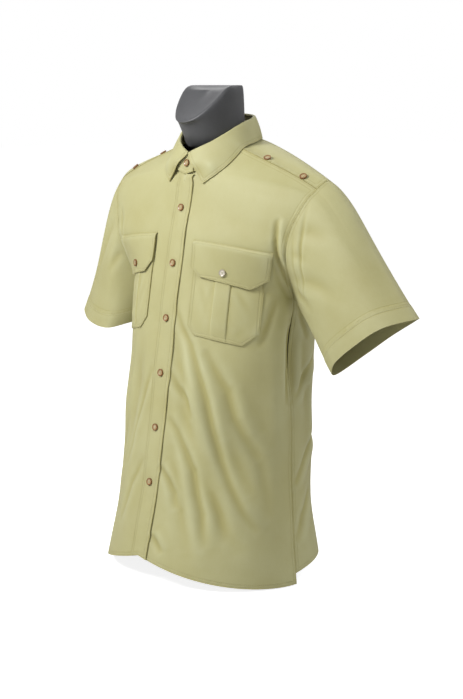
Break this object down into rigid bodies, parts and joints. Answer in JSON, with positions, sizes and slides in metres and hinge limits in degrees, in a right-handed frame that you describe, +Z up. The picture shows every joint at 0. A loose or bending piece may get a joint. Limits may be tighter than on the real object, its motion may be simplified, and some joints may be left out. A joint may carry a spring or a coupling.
{
  "type": "military shirt on a limbless dress form",
  "caption": "Short-sleeved military shirt in khaki-green cotton twill, buttoned to the neck, with flapped breast pockets, worn by a dark grey limbless dress form.",
  "frame": {"origin": "centre of the dress form's flat base", "axes": "+Z up, the shirt's front faces -Y and the wearer's left is +X"},
  "size_m": [0.7949, 0.3091, 0.7955],
  "materials": {
    "shirt_cloth": "washed twill, matte",
    "form_cover": "smooth matte jersey",
    "button_horn": "polished"
  },
  "bodies": {
    "root": {"front_left": "shirt_cloth", "front_right": "shirt_cloth", "back": "shirt_cloth", "yoke": "shirt_cloth", "sleeve_left": "shirt_cloth", "sleeve_right": "shirt_cloth", "placket_band": "shirt_cloth", "collar_stand": "shirt_cloth", "collar_fall": "shirt_cloth", "pocket_left": "shirt_cloth", "pocket_right": "shirt_cloth", "flap_left": "shirt_cloth", "flap_right": "shirt_cloth", "dress_form": "form_cover", "button_front_1": "button_horn", "button_front_2": "button_horn", "button_front_3": "button_horn", "button_front_4": "button_horn", "button_front_5": "button_horn", "button_front_6": "button_horn", "button_collar": "button_horn", "button_flap_left": "button_horn", "button_flap_right": "button_horn", "button_shoulder_left_1": "button_horn", "button_shoulder_left_2": "button_horn", "button_shoulder_right_1": "button_horn", "button_shoulder_right_2": "button_horn"}
  },
  "joints": []
}
